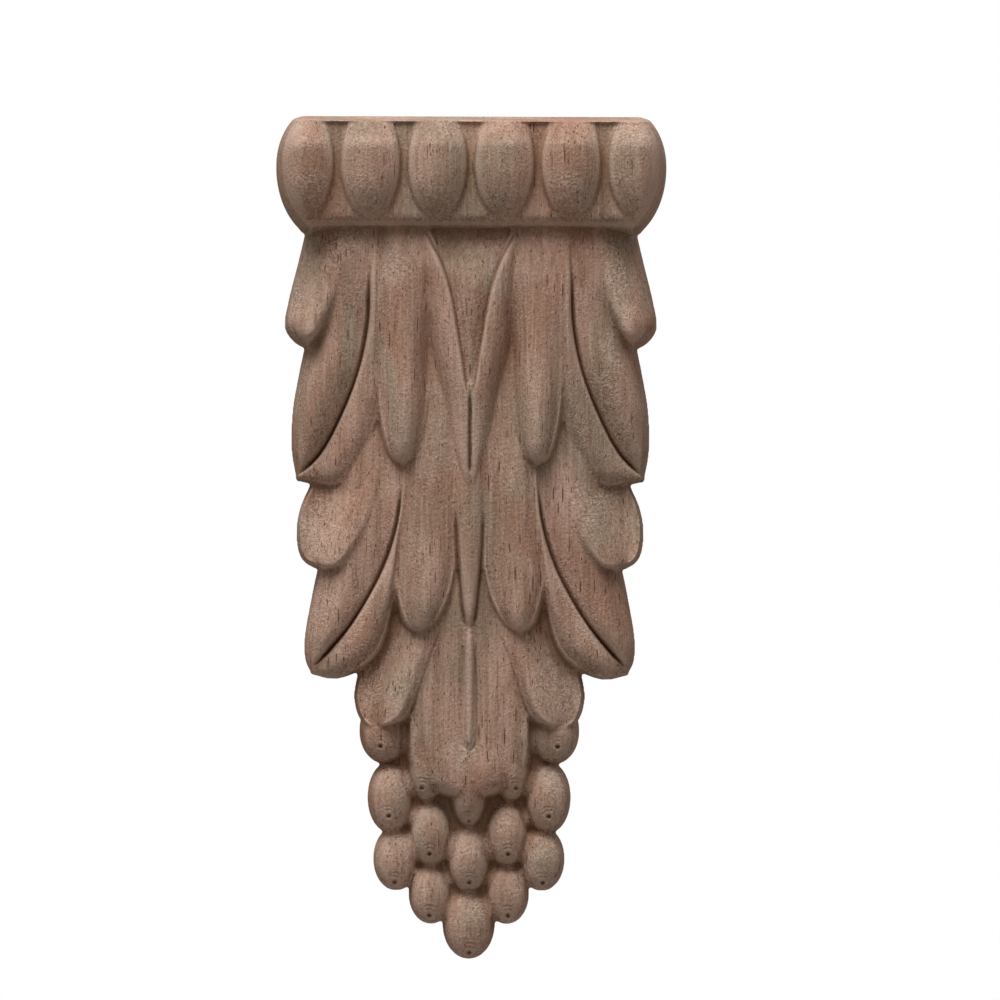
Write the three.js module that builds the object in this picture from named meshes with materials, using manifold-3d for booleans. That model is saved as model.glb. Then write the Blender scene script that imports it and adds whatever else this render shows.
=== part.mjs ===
// A carved wooden onlay in the shape of a hanging bracket: a roll with a row of eggs at the top,
// two tiers of acanthus lobes, a tongue between two small lobes and a cluster of grapes as the drop.
// It is one piece of wood with a flat back. Millimetres, +Z up. The front faces -Y and the back lies
// on the plane Y = 0, with the origin at the centre of the back at half the height.
import * as THREE from 'three';
import Module from 'manifold-3d';

const wasm = await Module();
wasm.setup();

// Driving dimensions
const HEIGHT = 200; // top edge of the head to the tip of the lowest grape
const HEAD_WIDTH = 92.5; // widest part of the head
const DEPTH = 25; // back to the crest of the eggs
const HEAD_HEIGHT = 27.2; // top edge of the head to the neck
const TOP_INSET = 6; // the head's side at the top edge, in from its widest part
const NECK_INSET = 7.6; // the head's side at the neck, in from its widest part
const SIDE_RIM = 10; // depth at which the head's rounded ends meet their upright sides
const EGG_COUNT = 6;
const EGG_PITCH = 15.7;
const EGG_GAP = 1.5; // between two eggs at their widest
const EGG_TOP = 1.9; // back edge of the head's top to its front edge, where the eggs start
const EGG_BOTTOM = 25.2; // top edge of the head to the bottom of the eggs
const EGG_SHOULDER = 3.8; // crest of the eggs back to where their rounding would end at the top
const RECESS = 5.3; // crest of the eggs back to the flat ground between them
const NECK_STEP = 9.8; // crest of the eggs back to the neck
const DRAFT = 0.09; // slope of the side walls, in millimetres out for each millimetre down
const VEIN_INNER = 0.35; // a vein's steep side towards the middle line
const VEIN_OUTER = 1.1; // a vein's gentle side away from the middle line
const VEIN_DEPTH = 1.5;
const LIP_STEP = 1.2; // how far the lower side of a vein stands above its upper side
const GRAPE_RIM = 6; // depth at which a grape's dome meets its upright side
const GRAPE_TILT = 0.08; // lean of the grapes, in millimetres out for each millimetre down

// The leaves are drawn at these sizes and stretched to the real ones
const DRAWN_HALF_WIDTH = 46.25;
const DRAWN_LEAF_LENGTH = 172.8;
const DRAWN_DEPTH = 25;

// Facets
const BELOW_BACK = 2; // solids run on behind the back plane and are trimmed there together
const LEAF_ROWS = 12;
const LEAF_COLUMNS = 6;
const HEAD_ROWS = 10;
const EGG_STATIONS = [0.4, 0.75, 0.95]; // shares of an egg's half width
const END_STATIONS = [0.4, 0.7, 0.88, 0.97, 1]; // shares of the rounded end of the head
const GRAPE_SIDES = 12;
const GRAPE_RINGS = 3;
const VEIN_STEPS = 10;

const across = HEAD_WIDTH / 2 / DRAWN_HALF_WIDTH;
const along = (HEIGHT - HEAD_HEIGHT) / DRAWN_LEAF_LENGTH;
const deep = DEPTH / DRAWN_DEPTH;

// A point of the leaves: x from the middle line, t down from the neck, d out from the back
const onLeaf = ([x, t, d]) => new THREE.Vector3(x * across, HEAD_HEIGHT + t * along, d * deep);

// From distances (across, down from the top, out from the back) to the part's own frame
const toPart = (p) => [p.x, -p.z, HEIGHT / 2 - p.y];

// Cross-sections, from 0 at an edge to 1 at the crest: rounded, hollow, and rounded in a narrow rim
const DIP = 0.8; // how far a hollow section dips next to its edge
const RIM = 0.14; // share of the half width that the rim takes up
const RIM_SLOPE = 0.25;
const convex = (s) => 1 - (1 - s) ** 2;
const hollow = (s) => s * s * (3 - 2 * s) - DIP * s * (1 - s) ** 2;
const rimmed = (s) => RIM_SLOPE * Math.min(s, RIM)
  + (1 - RIM_SLOPE * RIM) * convex(Math.max(0, s - RIM) / (1 - RIM));

// One closed mesh as a solid, turned right side out
function solid(points, triangles) {
  const flat = points.flatMap(toPart);
  let volume = 0;
  for (const [a, b, c] of triangles) {
    const [p, q, r] = [a, b, c].map((i) => new THREE.Vector3().fromArray(flat, i * 3));
    volume += p.dot(q.cross(r));
  }
  const faces = volume < 0 ? triangles.map(([a, b, c]) => [a, c, b]) : triangles;
  return new wasm.Manifold(new wasm.Mesh({
    numProp: 3,
    vertProperties: new Float32Array(flat),
    triVerts: new Uint32Array(faces.flat()),
  }));
}

// A relief that stands on the back: rows of points run across it, and the last row may be one point.
// The side walls flare by the draft on their way down.
function reliefSolid(rows) {
  const points = [];
  const triangles = [];
  const top = rows.map((row) => row.map((p) => points.push(p) - 1));
  const foot = (p, away) => {
    const flare = away.setZ(0).normalize().multiplyScalar((p.z + BELOW_BACK) * DRAFT);
    return points.push(new THREE.Vector3(p.x + flare.x, p.y + flare.y, -BELOW_BACK)) - 1;
  };
  const feet = rows.map((row, i) => {
    const [first, last] = [row[0], row[row.length - 1]];
    if (row.length === 1) {
      const before = rows[i - 1];
      const middle = before[0].clone().add(before[before.length - 1]).multiplyScalar(0.5);
      const only = foot(first, first.clone().sub(middle));
      return [only, only];
    }
    return [foot(first, first.clone().sub(last)), foot(last, last.clone().sub(first))];
  });
  const add = (...corners) => {
    if (new Set(corners).size === 3) triangles.push(corners);
  };
  for (let i = 1; i < rows.length; i++) {
    const [a, b] = [top[i - 1], top[i]];
    for (let j = 1; j < a.length; j++) {
      const [b0, b1] = [b[Math.min(j - 1, b.length - 1)], b[Math.min(j, b.length - 1)]];
      add(a[j - 1], a[j], b1);
      add(a[j - 1], b1, b0);
    }
    const [p, q] = [feet[i - 1], feet[i]];
    const ends = [[a[0], b[0], p[0], q[0]], [b[b.length - 1], a[a.length - 1], q[1], p[1]]];
    for (const [high0, high1, low0, low1] of ends) {
      add(high0, high1, low1);
      add(high0, low1, low0);
    }
    add(p[0], q[0], q[1]);
    add(p[0], q[1], p[1]);
  }
  const closeEnd = (high, low, turn) => {
    const corners = turn ? [...high].reverse() : high;
    const [start, end] = turn ? [low[1], low[0]] : low;
    for (let j = 1; j < corners.length; j++) add(start, corners[j], corners[j - 1]);
    add(start, end, corners[corners.length - 1]);
  };
  closeEnd(top[0], feet[0], false);
  if (rows[rows.length - 1].length > 1) closeEnd(top[top.length - 1], feet[feet.length - 1], true);
  return solid(points, triangles);
}

// An outline measured on the back, drawn in by the draft of the wall below it
const outline = (points) => points.map(([x, t, d]) => [x - Math.sign(x) * DRAFT * d, t, d]);

// A lip's edge over its vein. It rises from the vein over the first stations.
const lipEdge = (vein) => vein.map(([x, t, d], i) => [x, t, d + LIP_STEP * Math.min(1, i / 3)]);

const rail = (points) => new THREE.CatmullRomCurve3(points.map(onLeaf), false, 'centripetal');

// A curve of heights at the same stations as a rail
function heights(values) {
  const curve = new THREE.SplineCurve(values.map((d, i) => new THREE.Vector2(i, d * deep)));
  return (u) => curve.getPoint(u).y;
}

// The rows of one leaf lobe. Its inner and outer edges are rails that meet at the tip, and between
// them the surface swells to a crest.
function lobeRows(lobe) {
  const { inner, outer, crest, crestAt = 0.5, section = convex, rows = LEAF_ROWS, open = false } = lobe;
  const [a, b, c] = [rail(inner), rail(outer), heights(crest)];
  const made = [];
  for (let i = 0; i <= rows; i++) {
    const u = i / rows;
    const [p, q, top] = [a.getPoint(u), b.getPoint(u), c(u)];
    if (i === rows && !open) {
      made.push([p]);
      break;
    }
    const row = [];
    for (let j = 0; j <= LEAF_COLUMNS; j++) {
      const v = (1 - Math.cos((Math.PI * j) / LEAF_COLUMNS)) / 2;
      const point = p.clone().lerp(q, v);
      const [edge, share] = v < crestAt ? [p.z, v / crestAt] : [q.z, (1 - v) / (1 - crestAt)];
      point.z = edge + (top - edge) * section(share);
      row.push(point);
    }
    made.push(row);
  }
  return made;
}

const mirrored = (rows) => rows.map((row) => row.map((p) => new THREE.Vector3(-p.x, p.y, p.z)));

// A lobe on each side of the middle line
const lobePair = (lobe) => {
  const rows = lobeRows(lobe);
  return [reliefSolid(rows), reliefSolid(mirrored(rows))];
};

// A lobe that lies over the middle line: half its outline is given
const lobeOnAxis = (lobe) => [
  reliefSolid(lobeRows({ ...lobe, inner: lobe.outer.map(([x, t, d]) => [-x, t, d]) })),
];

// A rounded body on the back, seen as an ellipse: its dome rises from the rim to the crest, and
// leans out towards its lower end
function dome({ x, y, radiusX, radiusY, rim, crest }) {
  const points = [new THREE.Vector3(x, y, crest)];
  const triangles = [];
  const [rimX, rimY] = [radiusX - DRAFT * rim, radiusY - DRAFT * rim];
  const ring = (share, z, flare, tilt) => {
    const first = points.length;
    for (let i = 0; i < GRAPE_SIDES; i++) {
      const turn = (2 * Math.PI * i) / GRAPE_SIDES;
      const right = (rimX * share + flare) * Math.cos(turn);
      const down = (rimY * share + flare) * Math.sin(turn);
      points.push(new THREE.Vector3(x + right, y + down, z + tilt * down));
    }
    return first;
  };
  const firsts = [];
  for (let k = 1; k <= GRAPE_RINGS; k++) {
    const share = Math.sin((Math.PI / 2) * (k / GRAPE_RINGS));
    firsts.push(ring(share, rim + (crest - rim) * Math.sqrt(1 - share ** 2), 0, GRAPE_TILT));
  }
  firsts.push(ring(1, -BELOW_BACK, (rim + BELOW_BACK) * DRAFT, 0));
  const bottom = points.push(new THREE.Vector3(x, y, -BELOW_BACK)) - 1;
  for (let i = 0; i < GRAPE_SIDES; i++) {
    const next = (i + 1) % GRAPE_SIDES;
    triangles.push([0, firsts[0] + i, firsts[0] + next]);
    for (let k = 1; k < firsts.length; k++) {
      triangles.push([firsts[k - 1] + i, firsts[k] + i, firsts[k] + next]);
      triangles.push([firsts[k - 1] + i, firsts[k] + next, firsts[k - 1] + next]);
    }
    triangles.push([firsts[firsts.length - 1] + next, firsts[firsts.length - 1] + i, bottom]);
  }
  return solid(points, triangles);
}

// The cut of a pointed bit along a vein, steeper on the side of the middle line. It fades out at
// both ends.
function veinCut(points) {
  const curve = rail(points);
  const clear = DEPTH; // the cutter runs on past the crest of the relief
  const rise = 0.5; // and its gentle side runs on up the lobe beside the vein
  const [fadeStart, fadeSpan] = [0.08, 0.84]; // the part of a half wave that the depth follows
  const verts = [];
  const triangles = [];
  for (let i = 0; i <= VEIN_STEPS; i++) {
    const u = i / VEIN_STEPS;
    const p = curve.getPoint(u);
    const tangent = curve.getTangent(u).setZ(0).normalize();
    const out = new THREE.Vector3(-tangent.y, tangent.x, 0);
    if (out.x * p.x < 0) out.negate();
    const fade = Math.sqrt(Math.sin(Math.PI * (fadeStart + fadeSpan * u)));
    const [inner, outer] = [-VEIN_INNER * fade, VEIN_OUTER * fade];
    const [low, high, above] = [p.z - VEIN_DEPTH * fade, p.z + rise, p.z + clear];
    const section = [[0, low], [outer, high], [outer, above], [inner, above], [inner, high]];
    for (const [s, z] of section) verts.push(new THREE.Vector3(p.x + out.x * s, p.y + out.y * s, z));
  }
  const n = verts.length / (VEIN_STEPS + 1);
  for (let i = 0; i < VEIN_STEPS; i++) {
    for (let k = 0; k < n; k++) {
      const [a, b] = [i * n + k, i * n + ((k + 1) % n)];
      triangles.push([a, b, b + n], [a, b + n, a + n]);
    }
  }
  const last = VEIN_STEPS * n;
  for (let k = 1; k < n - 1; k++) triangles.push([0, k + 1, k], [last, last + k, last + k + 1]);
  return solid(verts, triangles);
}

const veinPair = (points) => [veinCut(points), veinCut(points.map(([x, t, d]) => [-x, t, d]))];

// The head: rows across it from the top edge to the neck. Each row rises and falls with the eggs.
const HEAD_MIDDLE = (EGG_TOP + EGG_BOTTOM) * 0.44; // the eggs are fullest a little above their middle
const END_OF_TURN = 0.97; // the head's rounding stops short of a full quarter turn
const EGG_START = 0.86; // and the eggs are already this far into theirs at the top
const SIDE_FULLNESS = 2; // 2 is a circle's quarter, and more stays out longer
const FRONT_FULLNESS = 2.2;
const GROUND_SOFTNESS = 1.6; // over which the ground between the eggs rolls into the neck

// A quarter turn from 0 at its middle to 1 at its end
function turned(share, fullness) {
  const drawnIn = (s) => 1 - (1 - s ** fullness) ** (1 / fullness);
  return drawnIn(share * END_OF_TURN) / drawnIn(END_OF_TURN);
}

// How far the head has drawn in from its fullest place
function headTurn(y, top, neck, fullness) {
  if (y < HEAD_MIDDLE) return top * turned(1 - y / HEAD_MIDDLE, SIDE_FULLNESS);
  return neck * turned((y - HEAD_MIDDLE) / (HEAD_HEIGHT - HEAD_MIDDLE), fullness);
}

// Half the width of an egg
function eggHalf(y) {
  const share = y < HEAD_MIDDLE
    ? EGG_START * (HEAD_MIDDLE - y) / HEAD_MIDDLE
    : (y - HEAD_MIDDLE) / (EGG_BOTTOM - HEAD_MIDDLE);
  return (EGG_PITCH - EGG_GAP) / 2 * Math.sqrt(Math.max(0, 1 - share ** 2));
}

// The lower of two heights with their meeting rounded off
function softMin(a, b, softness) {
  const gap = Math.max(0, 1 - Math.abs(a - b) / softness);
  return Math.min(a, b) - softness / 4 * gap ** 2;
}

// One row: the rounded end by the first egg, the eggs on their ground, and the other end. The end
// eggs have no ground on their outer sides.
function headRow(y) {
  const rim = HEAD_WIDTH / 2 - headTurn(y, TOP_INSET, NECK_INSET, SIDE_FULLNESS) - DRAFT * SIDE_RIM;
  const crest = DEPTH - headTurn(y, EGG_SHOULDER, NECK_STEP, FRONT_FULLNESS);
  const ground = softMin(DEPTH - RECESS, crest, GROUND_SOFTNESS);
  const egg = eggHalf(y);
  const last = (EGG_COUNT - 1) / 2 * EGG_PITCH;
  const row = [];
  const put = (x, z) => row.push(new THREE.Vector3(x, y, z));
  const bulge = (share) => ground + (crest - ground) * Math.sqrt(1 - share ** 2);
  const end = (side, share) => put(
    side * (last + (rim - last) * share),
    SIDE_RIM + (crest - SIDE_RIM) * Math.sqrt(1 - share ** 2),
  );
  [...END_STATIONS].reverse().forEach((share) => end(-1, share));
  for (let i = 0; i < EGG_COUNT; i++) {
    const middle = i * EGG_PITCH - last;
    if (i > 0) {
      put(middle - egg, ground);
      [...EGG_STATIONS].reverse().forEach((share) => put(middle - share * egg, bulge(share)));
    }
    put(middle, crest);
    if (i < EGG_COUNT - 1) {
      EGG_STATIONS.forEach((share) => put(middle + share * egg, bulge(share)));
      put(middle + egg, ground);
    }
  }
  END_STATIONS.forEach((share) => end(1, share));
  return row;
}

// The top of the head slopes back from its front edge, like every side wall
function headRows() {
  const front = headRow(EGG_TOP);
  const made = [front.map((p) => new THREE.Vector3(p.x, 0, 0)), front];
  for (let i = 1; i <= HEAD_ROWS; i++) {
    made.push(headRow(EGG_TOP + (HEAD_HEIGHT - EGG_TOP) * i / HEAD_ROWS));
  }
  return made;
}

// First tier of leaves
const VEIN_1 = [
  [22.6, -3, 14.8], [23.8, 9, 16], [24.1, 22, 15], [26.4, 33.5, 13.6],
  [30.7, 44.5, 11.6], [35.4, 53, 9.8], [40.7, 58.4, 8.2],
];
const shoulder1 = {
  inner: [
    [22, -3, 14.8], [24.5, 6, 15], [28.6, 14, 13.4], [32.4, 20.6, 12.4], [35.2, 24.8, 12],
    [38.4, 27.3, 11.4],
  ],
  outer: [
    ...outline([[38.6, -3, 8], [41.2, 8, 8.4], [43.4, 17, 9.4], [44.2, 22.8, 10.6], [42.4, 25.6, 11]]),
    [38.4, 27.3, 11.4],
  ],
  crest: [14.2, 15.6, 16.8, 17.8, 17.4, 13.6],
  crestAt: 0.36,
};
const blade1 = {
  inner: VEIN_1,
  outer: [
    ...outline([
      [36, -3, 10], [37, 10, 9.6], [38.8, 24, 8.6], [40.8, 34, 8.6], [42.3, 43, 8.4],
      [42.5, 52, 8.2],
    ]),
    [40.7, 58.4, 8.2],
  ],
  crest: [15, 16.4, 15.4, 16, 14.6, 11.8, 8.6],
};
const lip1 = {
  inner: [
    [20.3, -3, 14.9], [21.2, 12, 17], [21.7, 28, 16], [21.9, 42, 14.2], [24.6, 52, 12.8],
    [31, 59.9, 11], [40.7, 58.8, 8.2],
  ],
  outer: lipEdge(VEIN_1),
  crest: [15, 17.2, 16.8, 15.6, 14.2, 12.4, 9],
  section: rimmed,
};
const finger1 = {
  inner: [
    [12, -3, 15], [9.7, 9, 16.6], [9.2, 28, 13], [9.9, 41, 14.8], [11.8, 50, 16],
    [13.4, 53.8, 16.2], [15.8, 55.4, 16.2],
  ],
  outer: [
    [21, -3, 14.9], [21.6, 14, 17.2], [21.8, 30, 16.4], [21.2, 42.5, 16], [19.6, 50.4, 16.2],
    [18, 54, 16.2], [15.8, 55.4, 16.2],
  ],
  crest: [15.4, 17.6, 18.4, 19.4, 19.8, 18.4, 16.4],
  section: rimmed,
};
const strip1 = {
  inner: [
    [10.6, -3, 15], [7.2, 6.7, 17], [4.8, 13.5, 17.8], [2.4, 27, 18], [0.3, 39, 18],
    [0, 54, 17.4], [0, 66.4, 15.8],
  ],
  outer: [
    [12.8, -3, 14.9], [9.9, 8, 16.8], [9.4, 20, 15.2], [8.9, 30, 12.9], [5.8, 42, 14.2],
    [3.5, 54, 15.2], [0, 66.4, 15.4],
  ],
  crest: [15, 17.6, 18.2, 18.4, 18.2, 17.6, 16],
  crestAt: 0.3,
  rows: 14,
};
const panel = {
  outer: [[10.4, -3, 14.2], [7.1, 6.7, 16], [4.7, 13.5, 16.8], [2.3, 27, 16.6], [0.4, 39, 16.4]],
  crest: [14, 17.2, 18.6, 17.4, 16.6],
  rows: 10,
  open: true,
};

// Second tier of leaves
const VEIN_2 = [
  [15.6, 34, 12.6], [15.9, 60, 14.2], [17.2, 70, 14], [20.6, 80.4, 13],
  [27.2, 92.2, 11.4], [32.6, 99, 9.8], [36.8, 103.4, 8],
];
const shoulder2 = {
  inner: [
    [18, 45, 12], [20, 60, 13.4], [23, 70, 14], [27, 76.4, 14], [30.6, 79.4, 13.4], [34.6, 80, 12],
  ],
  outer: [
    ...outline([[33, 45, 8], [37.8, 59.8, 8.2], [40.4, 66, 8.6], [41.3, 72, 9.6], [40, 77.6, 11]]),
    [34.6, 80, 12],
  ],
  crest: [12.2, 14, 15, 15.2, 14.6, 12.4],
  crestAt: 0.16,
  section: hollow,
};
const blade2 = {
  inner: VEIN_2,
  outer: [
    ...outline([
      [33, 34, 8], [33.4, 58, 8], [34.6, 72, 8], [37.6, 87, 8], [39.3, 97.6, 7.8],
      [39, 102, 7.8],
    ]),
    [37.2, 104.4, 8],
  ],
  crest: [12.4, 13.6, 14.2, 13.8, 13.4, 11, 8.4],
  crestAt: 0.45,
};
const lip2 = {
  inner: [
    [14.6, 34, 13], [15.2, 60, 14.6], [16.8, 74, 14.2], [18.2, 88, 13], [22.4, 100.4, 11.8],
    [31.4, 105.5, 10], [37.2, 104.8, 8],
  ],
  outer: lipEdge(VEIN_2),
  crest: [14, 15.2, 15.6, 15.2, 14, 12, 8.6],
  section: rimmed,
};
const finger2 = {
  inner: [
    [7, 24, 13], [4, 56, 15.4], [3.2, 72, 15.4], [4.2, 83.5, 15], [6.8, 90.4, 15], [9.2, 93.6, 15],
    [12, 95, 15],
  ],
  outer: [
    [17, 24, 13], [15.6, 58, 14.8], [17, 72, 14.6], [17.5, 81.5, 14.4], [16, 89.6, 14.8],
    [14.2, 93.6, 15], [12, 95, 15],
  ],
  crest: [13, 16, 16.8, 17.6, 17.8, 16.8, 14.8],
  section: rimmed,
};
const spear2 = {
  outer: [[5, 50, 15], [2.9, 74, 15.2], [2.1, 84, 15], [1.3, 90.5, 14.8], [0, 94.9, 14.2]],
  crest: [16.6, 17, 16.8, 16.2, 14.6],
};

// The last pair of lobes, and the tongue with its rib that hangs over the grapes
const skirt = {
  inner: [
    [5, 74, 12.6], [6.6, 94, 13.4], [9.6, 102.6, 13.8], [12.3, 110.4, 13.8], [15.8, 115.4, 13.2],
    [21.5, 118.4, 11.8],
  ],
  outer: [
    ...outline([[19, 74, 8], [24.6, 96, 8], [26.6, 105.2, 8.6], [27.4, 111.2, 9.6], [26, 116, 10.8]]),
    [21.5, 118.4, 11.8],
  ],
  crest: [13, 14, 14.8, 15.2, 14.8, 12.2],
  crestAt: 0.2,
  section: hollow,
};
const tongue = {
  outer: [
    [5, 74, 12.4], [6.6, 94, 13], [10.6, 105, 12.8], [13.4, 113.4, 12.6], [13.8, 121, 12.2],
    [12.9, 127.2, 11.2], [10.6, 130.6, 10.6], [8, 132.4, 10.2], [5.6, 133.8, 9.8], [4.2, 136.8, 9],
    [0, 140.8, 8.6],
  ],
  crest: [14.6, 14, 14, 14.2, 14.8, 15.4, 15.4, 15, 14.2, 13, 9.8],
  rows: 16,
};
const rib = {
  outer: [
    [0.4, 92, 14.2], [1.1, 97, 14.2], [1.4, 106, 13.6], [1.5, 115, 13.4], [1.3, 120.4, 13.4],
    [0, 122.4, 13.4],
  ],
  crest: [14.6, 15.2, 15.4, 15.4, 15.2, 14.6],
  rows: 8,
};

// What shows between the lobes and the grapes
const ground = {
  outer: [
    [36, -4, 8], [37, 30, 8], [35, 62, 7.6], [33, 90, 7.4], [23, 106, 6.8], [18, 124, 6.2],
    [16, 142, 5.6], [12, 154, 5], [4, 164, 4.6], [0, 167, 4.6],
  ],
  crest: [12.5, 12.5, 12, 11.5, 10.6, 8.4, 7.4, 7, 5.4, 4.8],
};

// Grapes, by rows from the leaves to the tip: middle, radii and crest. A pair stands left and right.
const GRAPES = [
  { x: 20, t: 118.6, rx: 6.1, rt: 7.9, crest: 12.2 },
  { x: 10, t: 127.4, rx: 5.8, rt: 8.3, crest: 11.8 },
  { x: 18.5, t: 134.4, rx: 5.6, rt: 8.6, crest: 12 },
  { x: 0, t: 134.4, rx: 5.2, rt: 7.2, crest: 12.4 },
  { x: 8.9, t: 142.7, rx: 5.5, rt: 8.2, crest: 12.2 },
  { x: 17.3, t: 149, rx: 5.4, rt: 7.6, crest: 10.8 },
  { x: 0, t: 148.7, rx: 5.5, rt: 8.4, crest: 12.4 },
  { x: 9, t: 157.1, rx: 5.3, rt: 7.4, crest: 10.8 },
  { x: 0, t: 164.2, rx: 6.2, rt: 8.6, crest: 11.2 },
];

function grapes() {
  return GRAPES.flatMap(({ x, t, rx, rt, crest }) => (x ? [-1, 1] : [1]).map((side) => {
    const middle = onLeaf([x * side, t, crest]);
    return dome({
      x: middle.x,
      y: middle.y,
      radiusX: rx * across,
      radiusY: rt * along,
      rim: GRAPE_RIM * deep,
      crest: middle.z,
    });
  }));
}

const union = (solids) => solids.reduce((a, b) => a.add(b));

const carved = union([
  reliefSolid(headRows()),
  ...lobeOnAxis(ground),
  ...[shoulder1, blade1, lip1, finger1, strip1].flatMap(lobePair),
  ...lobeOnAxis(panel),
  ...[shoulder2, blade2, lip2, finger2].flatMap(lobePair),
  ...lobeOnAxis(spear2),
  ...lobePair(skirt),
  ...lobeOnAxis(tongue),
  ...lobeOnAxis(rib),
  ...grapes(),
]);

const veins = union([
  ...veinPair(VEIN_1.slice(1)),
  ...veinPair(VEIN_2.slice(1)),
]);

// The back plane trims all of it flat
function backTrim() {
  const box = new THREE.BoxGeometry(4 * HEAD_WIDTH, 4 * DEPTH, 4 * HEIGHT);
  box.translate(0, 2 * DEPTH, 0);
  box.deleteAttribute('normal');
  box.deleteAttribute('uv');
  return box;
}

function fromGeometry(geometry) {
  const position = geometry.getAttribute('position');
  const seen = new Map();
  const points = [];
  const index = [];
  for (let i = 0; i < position.count; i++) {
    const p = [position.getX(i), position.getY(i), position.getZ(i)];
    const key = p.join();
    if (!seen.has(key)) seen.set(key, points.push(...p) / 3 - 1);
    index.push(seen.get(key));
  }
  return new wasm.Manifold(new wasm.Mesh({
    numProp: 3,
    vertProperties: new Float32Array(points),
    triVerts: new Uint32Array([...geometry.index.array].map((i) => index[i])),
  }));
}

const onlaySolid = carved.subtract(veins).subtract(fromGeometry(backTrim()));

function toGeometry(made) {
  const mesh = made.getMesh();
  const geometry = new THREE.BufferGeometry();
  geometry.setAttribute('position', new THREE.BufferAttribute(new Float32Array(mesh.vertProperties), 3));
  geometry.setIndex(new THREE.BufferAttribute(new Uint32Array(mesh.triVerts), 1));
  geometry.computeVertexNormals();
  return geometry;
}

const wood = new THREE.MeshStandardMaterial({ color: 0x9a7d6b, roughness: 0.75, metalness: 0 });

const onlay = new THREE.Group();
const carving = new THREE.Mesh(toGeometry(onlaySolid), wood);
carving.name = 'carved_onlay';
onlay.add(carving);

export default onlay;
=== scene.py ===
"""A carved wooden onlay: an egg-moulded head, two tiers of acanthus leaves and a drop of grapes.

The relief is drawn as sheets that a round-nosed, tapered cutter then follows. What the cutter leaves
becomes one closed mesh with a flat back, and the mesh is finished as bare wood.
"""
import math

import bmesh
import bpy
import numpy as np
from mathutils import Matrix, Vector
from mathutils.bvhtree import BVHTree


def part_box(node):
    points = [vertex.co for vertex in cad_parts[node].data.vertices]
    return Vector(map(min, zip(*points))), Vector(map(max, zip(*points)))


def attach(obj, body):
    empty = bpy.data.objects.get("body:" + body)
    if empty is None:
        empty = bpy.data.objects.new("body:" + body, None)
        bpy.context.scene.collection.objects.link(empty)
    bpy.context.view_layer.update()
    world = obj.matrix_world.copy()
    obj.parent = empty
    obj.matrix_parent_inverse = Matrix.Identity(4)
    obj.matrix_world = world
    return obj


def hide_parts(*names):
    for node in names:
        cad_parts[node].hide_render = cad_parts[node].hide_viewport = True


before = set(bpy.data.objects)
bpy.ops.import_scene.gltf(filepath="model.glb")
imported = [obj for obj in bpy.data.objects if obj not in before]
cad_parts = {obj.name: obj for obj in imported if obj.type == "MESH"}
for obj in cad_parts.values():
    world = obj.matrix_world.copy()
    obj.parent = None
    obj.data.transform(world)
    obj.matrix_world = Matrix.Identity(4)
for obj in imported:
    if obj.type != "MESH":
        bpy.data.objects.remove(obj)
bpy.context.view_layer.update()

NODE = "carved_onlay"
low_corner, high_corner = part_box(NODE)

# Sizes in millimetres. The overall ones are those of the frame.
MM = 0.001
HEIGHT = (high_corner.z - low_corner.z) / MM
HEAD_WIDTH = (high_corner.x - low_corner.x) / MM
DEPTH = (high_corner.y - low_corner.y) / MM
TOP = high_corner.z / MM
HEAD_HEIGHT = 27.2
TOP_INSET = 6.0
TOP_CORNER = 1.6
NECK_INSET = 7.6
SIDE_RIM = 10.0
EGG_COUNT = 6
EGG_PITCH = 15.7
EGG_GAP = 1.5
EGG_TOP = 1.9
EGG_BOTTOM = 25.2
EGG_SHOULDER = 3.8
BEVEL_BOTTOM = 7.4
BEVEL_ROUNDING = 1.0
RECESS = 5.3
LEDGE = 0.8
LEDGE_BOTTOM = 2.2
NECK_STEP = 9.8
DRAFT = 0.09
LIP_STEP = 1.2
GRAPE_RIM = 6.0

# The head is fullest a little above the eggs' middle and rounds off from there. A fullness of 2 is a
# circle's, and more stays out longer. The eggs are already well into their own rounding at the top.
HEAD_MIDDLE = (EGG_TOP + EGG_BOTTOM) * 0.44
END_OF_TURN = 0.97
SIDE_FULLNESS = 2
FRONT_FULLNESS = 2.2
GROUND_SOFTNESS = 1.6
EGG_START = 0.86
LAST_EGG = (EGG_COUNT - 1) / 2

# The leaves are drawn at these sizes and stretched to the real ones
DRAWN_HALF_WIDTH = 46.25
DRAWN_LEAF_LENGTH = 172.8
DRAWN_DEPTH = 25.0
ACROSS = HEAD_WIDTH / 2 / DRAWN_HALF_WIDTH
ALONG = (HEIGHT - HEAD_HEIGHT) / DRAWN_LEAF_LENGTH
DEEP = DEPTH / DRAWN_DEPTH

# The raster on which the relief is cut, and the cutters. The grapes' cutter takes over bit by bit
# between two places down the leaves' drawing.
STEP = 0.16
MARGIN = 2.0
BELOW = -3.0
WALL_CUTTER = dict(radius=0.45, draft=DRAFT, tallest=DEPTH - BELOW)
LEAF_CUTTER = dict(radius=0.7, draft=0.28, tallest=8.0)
GRAPE_CUTTER = dict(radius=1.0, draft=0.3, tallest=8.0)
GRAPE_CUTTER_FROM = 112.0
GRAPE_CUTTER_FULL = 122.0
SOFTENING = 0.13

# How finely the lobes and the finished mesh are divided, and which of its edges stay sharp
LOBE_ROWS = 90
LOBE_COLUMNS = 36
FACE_BUDGET = 180000
SHARP_ANGLE = math.radians(42)


# Curves and cross-sections

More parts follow.
